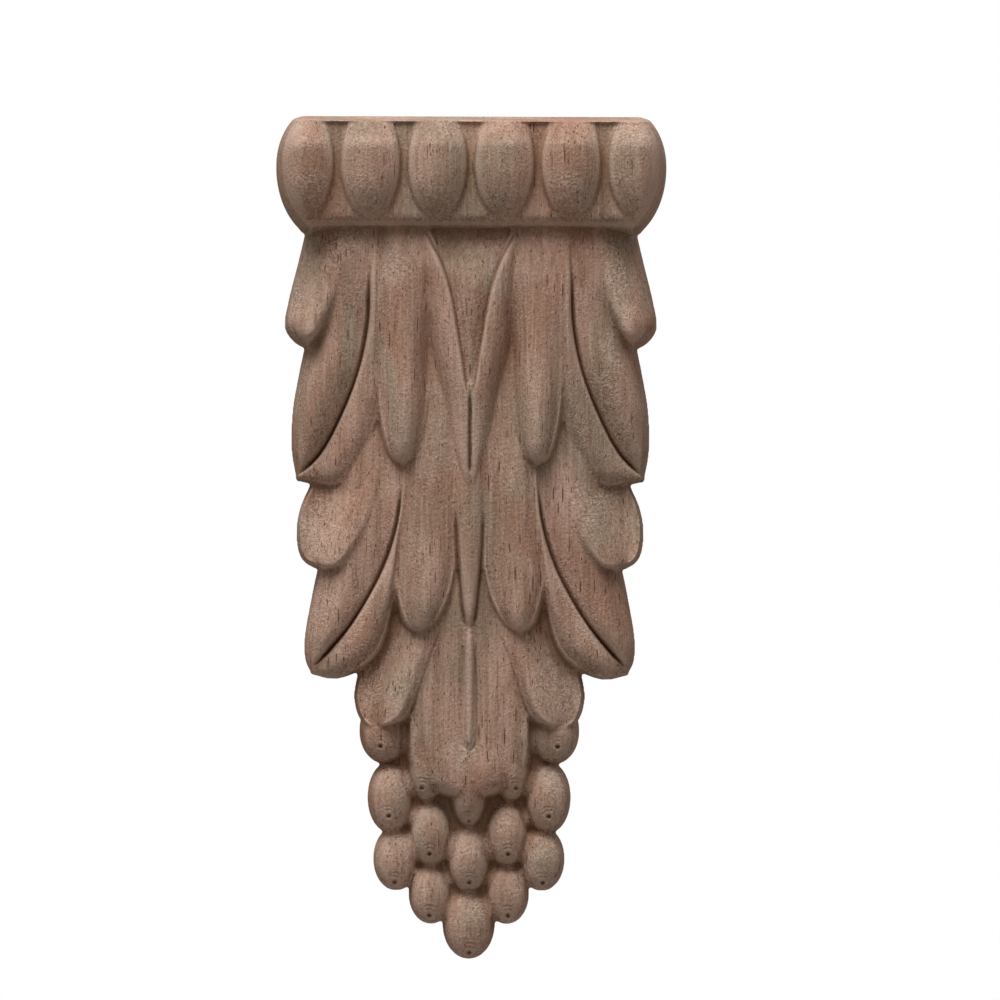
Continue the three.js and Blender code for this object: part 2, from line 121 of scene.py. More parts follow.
def centripetal(points, share):
    """Points on a smooth curve through the given ones, at shares of its stations."""
    p = np.asarray(points, float)
    p = np.vstack([2 * p[0] - p[1], p, 2 * p[-1] - p[-2]])
    spans = len(points) - 1
    place = np.clip(np.asarray(share) * spans, 0, spans - 1e-9)
    i = place.astype(int)
    w = (place - i)[:, None]
    p0, p1, p2, p3 = p[i], p[i + 1], p[i + 2], p[i + 3]

    def gap(a, b):
        return np.maximum(((b - a) ** 2).sum(axis=1, keepdims=True) ** 0.25, 1e-6)

    d0, d1, d2 = gap(p0, p1), gap(p1, p2), gap(p2, p3)
    t1 = ((p1 - p0) / d0 - (p2 - p0) / (d0 + d1) + (p2 - p1) / d1) * d1
    t2 = ((p2 - p1) / d1 - (p3 - p1) / (d1 + d2) + (p3 - p2) / d2) * d1
    square = -3 * p1 + 3 * p2 - 2 * t1 - t2
    cube = 2 * p1 - 2 * p2 + t1 + t2
    return p1 + t1 * w + square * w ** 2 + cube * w ** 3


def heights(values, share):
    """A smooth curve of heights at the same stations."""
    v = np.asarray(values, float)
    v = np.concatenate([[v[0]], v, [v[-1]]])
    spans = len(values) - 1
    place = np.clip(np.asarray(share) * spans, 0, spans - 1e-9)
    i = place.astype(int)
    w = place - i
    p0, p1, p2, p3 = v[i], v[i + 1], v[i + 2], v[i + 3]
    t1 = (p2 - p0) / 2
    t2 = (p3 - p1) / 2
    return p1 + t1 * w + (3 * p2 - 3 * p1 - 2 * t1 - t2) * w ** 2 + (2 * p1 - 2 * p2 + t1 + t2) * w ** 3


def convex(s):
    """A rounded section, from 0 at its edge to 1 at its crest."""
    return 1 - (1 - s) ** 2


def hollow(s):
    """A section that dips next to its edge."""
    dip = 0.8
    return s * s * (3 - 2 * s) - dip * s * (1 - s) ** 2


def rimmed(s):
    """A rounded section inside a narrow, flatter rim."""
    rim = 0.14
    rim_slope = 0.25
    swell = convex(np.clip((s - rim) / (1 - rim), 0, 1))
    return rim_slope * np.minimum(s, rim) + (1 - rim_slope * rim) * swell


def outline(points):
    """An outline measured on the back, drawn in by the draft of the wall below it."""
    return [(x - math.copysign(DRAFT * d, x), t, d) for x, t, d in points]


def lip_edge(vein):
    """A lip's edge over its vein. It rises from the vein over the first stations."""
    rising = 3
    return [(x, t, d + LIP_STEP * min(1, i / rising)) for i, (x, t, d) in enumerate(vein)]


def on_leaf(points):
    """From the leaves' drawing (across, down from the neck, out) to (across, down from the top, out)."""
    return [(x * ACROSS, HEAD_HEIGHT + t * ALONG, d * DEEP) for x, t, d in points]


# First tier of leaves. A point is given across from the middle line, down from the neck and out from
# the back. The crest has one height to a station, and crest_at is its share of the way between the
# edges. A lobe without an inner edge reaches as far to the other side of the middle line.

VEIN_1 = [
    (22.6, -3, 14.8), (23.8, 9, 16), (24.1, 22, 15), (26.4, 33.5, 13.6),
    (30.7, 44.5, 11.6), (35.4, 53, 9.8), (40.7, 58.4, 8.2),
]
SHOULDER_1 = dict(
    inner=[
        (22, -3, 14.8), (24.5, 6, 15), (28.6, 14, 13.4), (32.4, 20.6, 12.4), (35.2, 24.8, 12),
        (38.4, 27.3, 11.4),
    ],
    outer=outline([(38.6, -3, 8), (41.2, 8, 8.4), (43.4, 17, 9.4), (44.2, 22.8, 10.6), (42.4, 25.6, 11)])
    + [(38.4, 27.3, 11.4)],
    crest=[14.2, 15.6, 16.8, 17.8, 17.4, 13.6],
    crest_at=0.36,
)
BLADE_1 = dict(
    inner=VEIN_1,
    outer=outline([
        (36, -3, 10), (37, 10, 9.6), (38.8, 24, 8.6), (40.8, 34, 8.6), (42.3, 43, 8.4), (42.5, 52, 8.2),
    ]) + [(40.7, 58.4, 8.2)],
    crest=[15, 16.4, 15.4, 16, 14.6, 11.8, 8.6],
)
LIP_1 = dict(
    inner=[
        (20.3, -3, 14.9), (21.2, 12, 17), (21.7, 28, 16), (21.9, 42, 14.2), (24.6, 52, 12.8),
        (31, 59.9, 11), (40.7, 58.8, 8.2),
    ],
    outer=lip_edge(VEIN_1),
    crest=[15, 17.2, 16.8, 15.6, 14.2, 12.4, 9],
    section=rimmed,
)
FINGER_1 = dict(
    inner=[
        (12, -3, 15), (9.7, 9, 16.6), (9.2, 28, 13), (9.9, 41, 14.8), (11.8, 50, 16),
        (13.4, 53.8, 16.2), (15.8, 55.4, 16.2),
    ],
    outer=[
        (21, -3, 14.9), (21.6, 14, 17.2), (21.8, 30, 16.4), (21.2, 42.5, 16), (19.6, 50.4, 16.2),
        (18, 54, 16.2), (15.8, 55.4, 16.2),
    ],
    crest=[15.4, 17.6, 18.4, 19.4, 19.8, 18.4, 16.4],
    section=rimmed,
)
STRIP_1 = dict(
    inner=[
        (10.6, -3, 15), (7.2, 6.7, 17), (4.8, 13.5, 17.8), (2.4, 27, 18), (0.3, 39, 18),
        (0, 54, 17.4), (0, 66.4, 15.8),
    ],
    outer=[
        (12.8, -3, 14.9), (9.9, 8, 16.8), (9.4, 20, 15.2), (8.9, 30, 12.9), (5.8, 42, 14.2),
        (3.5, 54, 15.2), (0, 66.4, 15.4),
    ],
    crest=[15, 17.6, 18.2, 18.4, 18.2, 17.6, 16],
    crest_at=0.3,
)
PANEL = dict(
    outer=[(10.4, -3, 14.2), (7.1, 6.7, 16), (4.7, 13.5, 16.8), (2.3, 27, 16.6), (0.4, 39, 16.4)],
    crest=[12.8, 16.4, 18.8, 17.6, 16.6],
)

# Second tier of leaves

VEIN_2 = [
    (15.6, 34, 12.6), (15.9, 60, 14.2), (17.2, 70, 14), (20.6, 80.4, 13),
    (27.2, 92.2, 11.4), (32.6, 99, 9.8), (36.8, 103.4, 8),
]
SHOULDER_2 = dict(
    inner=[
        (18, 45, 12), (20, 60, 13.4), (23, 70, 14), (27, 76.4, 14), (30.6, 79.4, 13.4), (34.6, 80, 12),
    ],
    outer=outline([(33, 45, 8), (37.8, 59.8, 8.2), (40.4, 66, 8.6), (41.3, 72, 9.6), (40, 77.6, 11)])
    + [(34.6, 80, 12)],
    crest=[12.2, 14, 15, 15.2, 14.6, 12.4],
    crest_at=0.16,
    section=hollow,
)
BLADE_2 = dict(
    inner=VEIN_2,
    outer=outline([
        (33, 34, 8), (33.4, 58, 8), (34.6, 72, 8), (37.6, 87, 8), (39.3, 97.6, 7.8), (39, 102, 7.8),
    ]) + [(37.2, 104.4, 8)],
    crest=[12.4, 13.6, 14.2, 13.8, 13.4, 11, 8.4],
    crest_at=0.45,
)
LIP_2 = dict(
    inner=[
        (14.6, 34, 13), (15.2, 60, 14.6), (16.8, 74, 14.2), (18.2, 88, 13), (22.4, 100.4, 11.8),
        (31.4, 105.5, 10), (37.2, 104.8, 8),
    ],
    outer=lip_edge(VEIN_2),
    crest=[14, 15.2, 15.6, 15.2, 14, 12, 8.6],
    section=rimmed,
)
FINGER_2 = dict(
    inner=[
        (7, 24, 13), (4, 56, 15.4), (3.2, 72, 15.4), (4.2, 83.5, 15), (6.8, 90.4, 15), (9.2, 93.6, 15),
        (12, 95, 15),
    ],
    outer=[
        (17, 24, 13), (15.6, 58, 14.8), (17, 72, 14.6), (17.5, 81.5, 14.4), (16, 89.6, 14.8),
        (14.2, 93.6, 15), (12, 95, 15),
    ],
    crest=[13, 16, 16.8, 17.6, 17.8, 16.8, 14.8],
    section=rimmed,
)
SPEAR_2 = dict(
    outer=[(5, 50, 15), (2.9, 74, 15.2), (2.1, 84, 15), (1.3, 90.5, 14.8), (0, 94.9, 14.2)],
    crest=[16.6, 17, 16.8, 16.2, 14.6],
)

# The last pair of lobes, and the tongue with its rib that hangs over the grapes

SKIRT = dict(
    inner=[
        (5, 74, 12.6), (6.6, 94, 13.4), (9.6, 102.6, 13.8), (12.3, 110.4, 13.8), (15.8, 115.6, 13.2),
        (21, 117.7, 11.8),
    ],
    outer=outline([
        (19, 74, 8), (24.6, 96, 8), (26.6, 105.2, 8.6), (27.4, 111.2, 9.6), (25.6, 116.2, 10.8),
    ]) + [(21, 117.7, 11.8)],
    crest=[13, 14, 14.8, 15.2, 14.8, 12.2],
    crest_at=0.2,
    section=hollow,
)
TONGUE = dict(
    outer=[
        (5, 74, 12.4), (6.6, 94, 13), (10.6, 105, 12.8), (13.4, 113.4, 12.6), (13.8, 121, 12.2),
        (13.2, 126.4, 11.6), (11.4, 130, 11), (8.4, 132.2, 10.6), (4.6, 133.6, 10.4), (0, 134.2, 10.4),
    ],
    crest=[14.6, 14, 14, 14.2, 14.6, 15.2, 15.4, 15.2, 14.4, 12.6],
)
RIB = dict(
    outer=[
        (0.4, 92, 14.2), (1.1, 97, 14.2), (1.4, 106, 13.6), (1.5, 115, 13.4), (1.3, 120.4, 13.4),
        (0, 122.4, 13.4),
    ],
    crest=[14.6, 15.2, 15.4, 15.4, 15.2, 14.6],
)

# What shows between the lobes and the grapes

GROUND = dict(
    outer=[
        (36, -4, 8), (37, 30, 8), (35, 62, 7.6), (33, 90, 7.4), (23, 106, 6.8), (18, 124, 6.2),
        (16, 142, 5.6), (12, 154, 5), (4, 164, 4.6), (0, 167, 4.6),
    ],
    crest=[12.5, 12.5, 12, 11.5, 10.6, 8.4, 7.4, 7, 5.4, 4.8],
)

PAIRS = (SHOULDER_1, BLADE_1, LIP_1, FINGER_1, STRIP_1, SHOULDER_2, BLADE_2, LIP_2, FINGER_2, SKIRT)
ON_AXIS = (PANEL, SPEAR_2, TONGUE, RIB, GROUND)

# Grapes by rows from the leaves to the tip: middle (across, down), radii (across, down), crest,
# and the drilled dot (from the middle outwards, down from the middle).
# A grape off the middle line stands left and right. The two longest kinds end the tongue.
GRAPES = [
    (20, 118.6, 6.1, 7.9, 12.2, 0.9, 3.4),
    (9.9, 126.5, 5, 9.2, 13.2, 1.2, 5.3),
    (18.5, 134.4, 5.6, 8.6, 12, 0.4, 4.1),
    (0, 130, 5.2, 11.6, 15.3, 0, 9.6),
    (8.9, 142.7, 5.5, 8.2, 12.2, 0.4, 4.7),
    (17.3, 149, 5.4, 7.6, 10.8, 0.2, 5.2),
    (0, 148.7, 5.5, 8.4, 12.4, 0.1, 5.4),
    (9, 157.1, 5.3, 7.4, 10.8, 0.3, 4.9),
    (0, 164.2, 6.2, 8.6, 11.2, 0.2, 6.6),
]
GRAPE_TILT = 0.08
GRAPE_FULLNESS = 2.05

# Cuts made with a pointed bit: path, width towards the middle line, width away from it, and depth
CUTS = [
    (VEIN_1[1:], 0.35, 0.9, 1.4),
    (VEIN_2[1:], 0.35, 0.9, 1.4),
    ([(11, 0, 0), (7.1, 7.2, 0), (4.75, 13.8, 0), (2.35, 27, 0), (0.5, 39, 0)], 0.6, 0.6, 0.9),
    ([(0, 38, 0), (0, 48, 0), (0, 57.6, 0)], 0.6, 0.6, 1.0),
    ([(3.3, 66, 0), (2.9, 76, 0), (2.1, 85, 0), (1, 94, 0)], 0.7, 0.7, 0.9),
    ([(6.6, 94, 0), (9.8, 102.6, 0), (12.4, 110.4, 0), (14.2, 115, 0)], 0.5, 0.5, 0.7),
    ([(1.3, 98, 0), (1.8, 108, 0), (1.9, 117, 0), (1.4, 121.6, 0), (0, 123.2, 0)], 0.5, 1.1, 0.6),
]


# The relief as sheets of points

def lobe_sheet(outer, crest, inner=None, crest_at=0.5, section=convex):
    """A grid of points over a lobe between two edges, swelling to a crest."""
    if inner is None:
        inner = [(-x, t, d) for x, t, d in outer]
    share = np.linspace(0, 1, LOBE_ROWS)
    near = centripetal(on_leaf(inner), share)
    far = centripetal(on_leaf(outer), share)
    top = heights([d * DEEP for d in crest], share)[:, None]
    v = (1 - np.cos(np.pi * np.linspace(0, 1, LOBE_COLUMNS))) / 2
    sheet = near[:, None] * (1 - v)[None, :, None] + far[:, None] * v[None, :, None]
    edge = np.where(v < crest_at, near[:, 2:3], far[:, 2:3])
    rise = section(np.where(v < crest_at, v / crest_at, (1 - v) / (1 - crest_at)))
    sheet[:, :, 2] = edge + (top - edge) * rise
    return sheet


def sheets_seen_from_front():
    """All lobes of one half as one tree to cast down on."""
    points = []
    faces = []
    count = 0
    for lobe in PAIRS + ON_AXIS:
        sheet = lobe_sheet(**lobe)
        rows, columns = sheet.shape[:2]
        index = np.arange(rows * columns).reshape(rows, columns) + count
        quads = np.stack([index[:-1, :-1], index[:-1, 1:], index[1:, 1:], index[1:, :-1]], axis=-1)
        points += sheet.reshape(-1, 3).tolist()
        faces += quads.reshape(-1, 4).tolist()
        count += rows * columns
    return BVHTree.FromPolygons(points, faces)


def leaf_depth(x, y):
    """Depth of the topmost sheet at each place of the raster."""
    cast = sheets_seen_from_front().ray_cast
    down = Vector((0, 0, -1))
    above = 2 * DEPTH
    depth = []
    for place in zip(x.ravel().tolist(), y.ravel().tolist()):
        hit = cast((*place, above), down)[0]
        depth.append(BELOW if hit is None else hit[2])
    return np.array(depth).reshape(x.shape)


def turned(share, fullness):
    """How far a rounding has drawn in, from 0 at its middle to 1 at its end."""

    def drawn_in(s):
        return 1 - (1 - s ** fullness) ** (1 / fullness)

    return drawn_in(np.clip(share, 0, 1) * END_OF_TURN) / drawn_in(END_OF_TURN)


def bevel(y):
    """How far the head's top edge is bevelled back, with a rounded corner at the bevel's foot."""

    def slope(height):
        return height + np.sqrt(height ** 2 + BEVEL_ROUNDING ** 2)

    return EGG_SHOULDER * slope(BEVEL_BOTTOM - y) / slope(BEVEL_BOTTOM - EGG_TOP)


def soft_min(a, b, softness):
    """The lower of two surfaces with their meeting rounded off."""
    gap = np.clip(1 - np.abs(a - b) / softness, 0, 1)
    return np.minimum(a, b) - softness / 4 * gap ** 2


def egg_bulge(x, y):
    """How full the nearest egg is, from 0 at its edge to 1 along its middle."""
    above = EGG_START * (HEAD_MIDDLE - y) / HEAD_MIDDLE
    share = np.where(y < HEAD_MIDDLE, above, (y - HEAD_MIDDLE) / (EGG_BOTTOM - HEAD_MIDDLE))
    half_egg = (EGG_PITCH - EGG_GAP) / 2 * np.sqrt(np.clip(1 - share ** 2, 1e-9, 1))
    egg = np.clip(np.round(x / EGG_PITCH + LAST_EGG), 0, EGG_COUNT - 1) - LAST_EGG
    return np.sqrt(np.clip(1 - ((x - egg * EGG_PITCH) / half_egg) ** 2, 0, 1))


def head_depth(x, y):
    """Depth of the head: its eggs on their ground, and its rounded sides next to the end eggs."""
    top_slope = np.clip(y / EGG_TOP, 0, 1)
    y = np.maximum(y, EGG_TOP)
    above = 1 - y / HEAD_MIDDLE
    below = (y - HEAD_MIDDLE) / (HEAD_HEIGHT - HEAD_MIDDLE)
    inset = TOP_INSET * turned(above, SIDE_FULLNESS) + NECK_INSET * turned(below, SIDE_FULLNESS)
    rim = HEAD_WIDTH / 2 - inset - DRAFT * SIDE_RIM - TOP_CORNER * (1 - top_slope) ** 2
    crest = DEPTH - NECK_STEP * turned(below, FRONT_FULLNESS) - bevel(y)
    ground = soft_min(DEPTH - RECESS, crest, GROUND_SOFTNESS)
    ground = np.where(y < LEDGE_BOTTOM, np.minimum(ground + LEDGE, crest), ground)
    depth = ground + (crest - ground) * egg_bulge(x, y)
    end = LAST_EGG * EGG_PITCH
    out = (np.abs(x) - end) / (rim - end)
    flank = SIDE_RIM + (crest - SIDE_RIM) * np.sqrt(np.clip(1 - out ** 2, 0, 1))
    depth = np.where(out > 0, flank, depth)
    inside = (top_slope > 0) & (y <= HEAD_HEIGHT) & (np.abs(x) <= rim)
    return np.where(inside, depth * top_slope, BELOW)


def grape_depth(x, y):
    """Depth of the grapes. Each one leans out towards its lower end."""
    depth = np.full(x.shape, BELOW)
    for across, down, wide, tall, crest, *_ in GRAPES:
        lean = y - HEAD_HEIGHT - down * ALONG
        ratio = np.abs((x - across * ACROSS) / (wide * ACROSS - DRAFT * GRAPE_RIM)) ** GRAPE_FULLNESS
        ratio = ratio + np.abs(lean / (tall * ALONG - DRAFT * GRAPE_RIM)) ** GRAPE_FULLNESS
        swell = np.sqrt(np.clip(1 - ratio, 0, 1))
        dome = GRAPE_RIM + (crest * DEEP - GRAPE_RIM) * swell + GRAPE_TILT * lean
        depth = np.where(ratio <= 1, np.maximum(depth, dome), depth)
    return depth


# The cutter

def cutter_offsets(radius, draft, tallest):
    """How far a round-nosed tapered cutter has risen at each raster place round its tip."""
    reach = int(math.ceil((radius + draft * tallest) / STEP))
    offsets = []
    for down in range(-reach, reach + 1):
        for across in range(-reach, reach + 1):
            r = STEP * math.hypot(down, across)
            if r <= radius:
                rise = radius - math.sqrt(radius ** 2 - r ** 2)
            else:
                rise = radius + (r - radius) / draft
            if rise < tallest:
                offsets.append((reach + down, reach + across, np.float32(rise)))
    return reach, offsets


def follow_with(cutter, half):
    """What a cutter leaves of the right half of a relief: sloping walls and rounded inner corners."""
    reach, offsets = cutter_offsets(**cutter)
    rows, columns = half.shape

    def widened(field):
        field = np.pad(field, ((reach, reach), (0, reach)), mode="edge")
        return np.pad(field, ((0, 0), (reach, 0)), mode="reflect")

    field = widened(half.astype(np.float32))
    tip = np.full(half.shape, BELOW, np.float32)
    for down, across, rise in offsets:
        np.maximum(tip, field[down:down + rows, across:across + columns] - rise, out=tip)
    field = widened(tip)
    left = np.full(half.shape, 2 * DEPTH, np.float32)
    for down, across, rise in offsets:
        np.minimum(left, field[down:down + rows, across:across + columns] + rise, out=left)
    return left.astype(float)


def blur(field, sigma):
    """A soft average over sigma millimetres."""
    spread = sigma / STEP
    radius = max(1, int(math.ceil(3 * spread)))
    weights = np.exp(-0.5 * (np.arange(-radius, radius + 1) / spread) ** 2)
    weights /= weights.sum()
    for axis in (0, 1):
        padding = [(0, 0), (0, 0)]
        padding[axis] = (radius, radius)
        padded = np.pad(field, padding, mode="edge")
        length = field.shape[axis]
        field = sum(w * np.take(padded, range(k, k + length), axis=axis) for k, w in enumerate(weights))
    return field


def cut(depth, x, y, path, inner_width, outer_width, cut_depth):
    """A V-shaped cut along a path that fades out and narrows at both ends."""
    stations = 60
    fade_in = 0.14
    fade_out = 0.08
    least_width = 0.4
    line = centripetal(on_leaf(path), np.linspace(0, 1, stations))[:, :2]
    low, high = line.min(axis=0) - outer_width, line.max(axis=0) + outer_width
    near = (x >= low[0]) & (x <= high[0]) & (y >= low[1]) & (y <= high[1])
    px, py = x[near], y[near]
    lengths = np.hypot(*np.diff(line, axis=0).T)
    gap = np.full(px.shape, 1e9)
    along = np.zeros(px.shape)
    outside = np.zeros(px.shape, bool)
    run = 0.0
    for a, b, length in zip(line[:-1], line[1:], lengths):
        d = b - a
        s = np.clip(((px - a[0]) * d[0] + (py - a[1]) * d[1]) / length ** 2, 0, 1)
        distance = np.hypot(px - a[0] - s * d[0], py - a[1] - s * d[1])
        closer = distance < gap
        gap = np.where(closer, distance, gap)
        along = np.where(closer, (run + s * length) / lengths.sum(), along)
        outside = np.where(closer, np.abs(px) > np.abs(a[0] + s * d[0]), outside)
        run += length
    fade = np.sqrt(np.clip(along / fade_in, 0, 1) * np.clip((1 - along) / fade_out, 0, 1))
    width = np.where(outside, outer_width, inner_width) * np.maximum(fade, least_width)
    depth[near] -= cut_depth * fade * np.clip(1 - gap / width, 0, 1)


def grape_marks(depth, x, y):
    """The drilled dot near the lower end of each grape, and the cutter's arcs over it."""
    dot_radius = 0.55
    dot_depth = 1.3
    arc_depth = 0.28
    arc_fade = 1.4
    # Radius, width and reach to each side
    arcs = ((1.5, 0.22, 1.0), (2.3, 0.2, 1.3))
    for across, down, _, _, _, dot_out, dot_down in GRAPES:
        dot_y = HEAD_HEIGHT + (down + dot_down) * ALONG
        for side in ((-1, 1) if across else (1,)):
            dx = x - (across + dot_out) * ACROSS * side
            dy = y - dot_y
            r = np.hypot(dx, dy)
            depth -= dot_depth * np.sqrt(np.clip(1 - r / dot_radius, 0, 1))
            for radius, width, reach in arcs:
                mark = np.clip(1 - np.abs(r - radius) / width, 0, 1) * (dy < 0)
                depth -= arc_depth * mark * np.clip(arc_fade - np.abs(dx) / reach, 0, 1)


def milled(drawn, y):
    """What the cutters leave of the drawn half. The grapes have a cutter with a rounder nose."""
    carved = follow_with(LEAF_CUTTER, drawn)
    start = int((HEAD_HEIGHT + GRAPE_CUTTER_FROM * ALONG + MARGIN) / STEP)
    share = (y[start:] - HEAD_HEIGHT) / ALONG - GRAPE_CUTTER_FROM
    share = np.clip(share / (GRAPE_CUTTER_FULL - GRAPE_CUTTER_FROM), 0, 1)
    round_nosed = np.maximum(follow_with(GRAPE_CUTTER, drawn[start:]), carved[start:])
    carved[start:] += share * (round_nosed - carved[start:])
    walls = follow_with(WALL_CUTTER, drawn)
    return np.where(drawn > BELOW, np.maximum(walls, carved), walls)


def relief():
    """The raster, the relief's depth on it, where its front is and how deep its pointed cuts go."""
    columns = int(math.ceil((HEAD_WIDTH / 2 + MARGIN) / STEP))
    rows = int(math.ceil((HEIGHT + 2 * MARGIN) / STEP))
    x, y = np.meshgrid(np.arange(columns) * STEP, np.arange(rows) * STEP - MARGIN)
    drawn = np.maximum(leaf_depth(x, y), head_depth(x, y))
    drawn = np.maximum(drawn, grape_depth(x, y))
    depth = milled(drawn, y)
    front = (drawn > BELOW) & (y > EGG_TOP)
    front, depth, y = (np.hstack([half[:, :0:-1], half]) for half in (front, depth, y))
    x = np.hstack([-x[:, :0:-1], x])
    uncut = depth.copy()
    for path, inner_width, outer_width, cut_depth in CUTS:
        for side in ((-1, 1) if path[0][0] else (1,)):
            mirrored = [(px * side, t, d) for px, t, d in path]
            cut(depth, x, y, mirrored, inner_width, outer_width, cut_depth)
    pointed = uncut - depth
    grape_marks(depth, x, y)
    return x, y, blur(depth, SOFTENING), front, pointed


# The mesh

def grid_mesh(x, y, depth):
    """A mesh over all of the raster that the relief reaches."""
    least_rise = 0.2
    solid = depth > BELOW + least_rise
    face = solid[:-1, :-1] | solid[:-1, 1:] | solid[1:, :-1] | solid[1:, 1:]
    index = np.arange(depth.size).reshape(depth.shape)
    corners = [index[:-1, :-1], index[:-1, 1:], index[1:, 1:], index[1:, :-1]]
    quads = np.stack([corner[face] for corner in corners], axis=-1)
    used, quads = np.unique(quads, return_inverse=True)
    quads = quads.reshape(-1, 4)
    points = np.stack([x.ravel(), -depth.ravel(), TOP - y.ravel()], axis=-1)[used] * MM
    mesh = bpy.data.meshes.new("onlay_relief")
    mesh.vertices.add(len(points))
    mesh.vertices.foreach_set("co", points.ravel())
    mesh.loops.add(quads.size)
    mesh.loops.foreach_set("vertex_index", quads.ravel())
    mesh.polygons.add(len(quads))
    mesh.polygons.foreach_set("loop_start", np.arange(len(quads)) * 4)
    mesh.update(calc_edges=True)
    return mesh


def thinned(mesh):
    """The same surface with as many triangles as the budget allows."""
    piece = bpy.data.objects.new("onlay_dense", mesh)
    bpy.context.collection.objects.link(piece)
    modifier = piece.modifiers.new("thin", "DECIMATE")
    modifier.ratio = FACE_BUDGET / (2 * len(mesh.polygons))
    depsgraph = bpy.context.evaluated_depsgraph_get()
    thin = bpy.data.meshes.new_from_object(piece.evaluated_get(depsgraph))
    bpy.data.objects.remove(piece)
    bpy.data.meshes.remove(mesh)
    return thin


def close_back(mesh):
    """Cuts the walls off at the back plane and closes them with one flat face."""
    made = bmesh.new()
    made.from_mesh(mesh)
    bmesh.ops.bisect_plane(
        made, geom=made.verts[:] + made.edges[:] + made.faces[:], dist=1e-7,
        plane_co=(0, high_corner.y, 0), plane_no=(0, 1, 0), clear_outer=True,
    )
    rim = [edge for edge in made.edges if edge.is_boundary]
    bmesh.ops.holes_fill(made, edges=rim, sides=0)
    bmesh.ops.triangulate(made, faces=[face for face in made.faces if len(face.verts) > 4])
    bmesh.ops.recalc_face_normals(made, faces=made.faces)
    for face in made.faces:
        face.smooth = True
    for edge in made.edges:
        edge.smooth = edge.calc_face_angle(0) < SHARP_ANGLE
    made.to_mesh(mesh)
    made.free()


def sample(field, mesh):
    """Values of a raster field at the mesh's points, and 0 on its back."""
    back = -0.05
    last_cell = 1.001
    points = np.empty(len(mesh.vertices) * 3)
    mesh.vertices.foreach_get("co", points)
    points = points.reshape(-1, 3) / MM
    rows, columns = field.shape
    across = np.clip(points[:, 0] / STEP + (columns - 1) / 2, 0, columns - last_cell)
    down = np.clip((TOP - points[:, 2] + MARGIN) / STEP, 0, rows - last_cell)
    i, j = down.astype(int), across.astype(int)
    u, v = down - i, across - j
    value = (1 - u) * ((1 - v) * field[i, j] + v * field[i, j + 1])
    value += u * ((1 - v) * field[i + 1, j] + v * field[i + 1, j + 1])
    return np.where(points[:, 1] > back, 0, value)


def sunk(depth, front, reach):
    """How far each place of the front lies below the average of the front around it."""
    least_share = 0.05
    edge_share = 0.7
    share = blur(front.astype(float), reach)
    around = blur(np.where(front, depth, 0), reach) / np.maximum(share, least_share)
    return np.where(front, around - depth, 0) * np.clip((share - edge_share) / (1 - edge_share), 0, 1)


def add_field(mesh, name, field):
    """Stores a raster field on the mesh's points for the finish to read."""
    layer = mesh.attributes.new(name, "FLOAT", "POINT")
    layer.data.foreach_set("value", sample(field, mesh).astype(np.float32))


def carved_onlay():
    """The onlay, with its creases, hollows and pointed cuts stored on it for the finish."""
    x, y, depth, front, pointed = relief()
    mesh = thinned(grid_mesh(x, y, depth))
    close_back(mesh)
    mesh.name = "onlay_carving"
    add_field(mesh, "crease", sunk(depth, front, reach=0.6))
    add_field(mesh, "recess", sunk(depth, front, reach=2.4))
    add_field(mesh, "pointed", pointed)
    piece = bpy.data.objects.new("onlay_carving", mesh)
    bpy.context.collection.objects.link(piece)
    return piece


# The finish

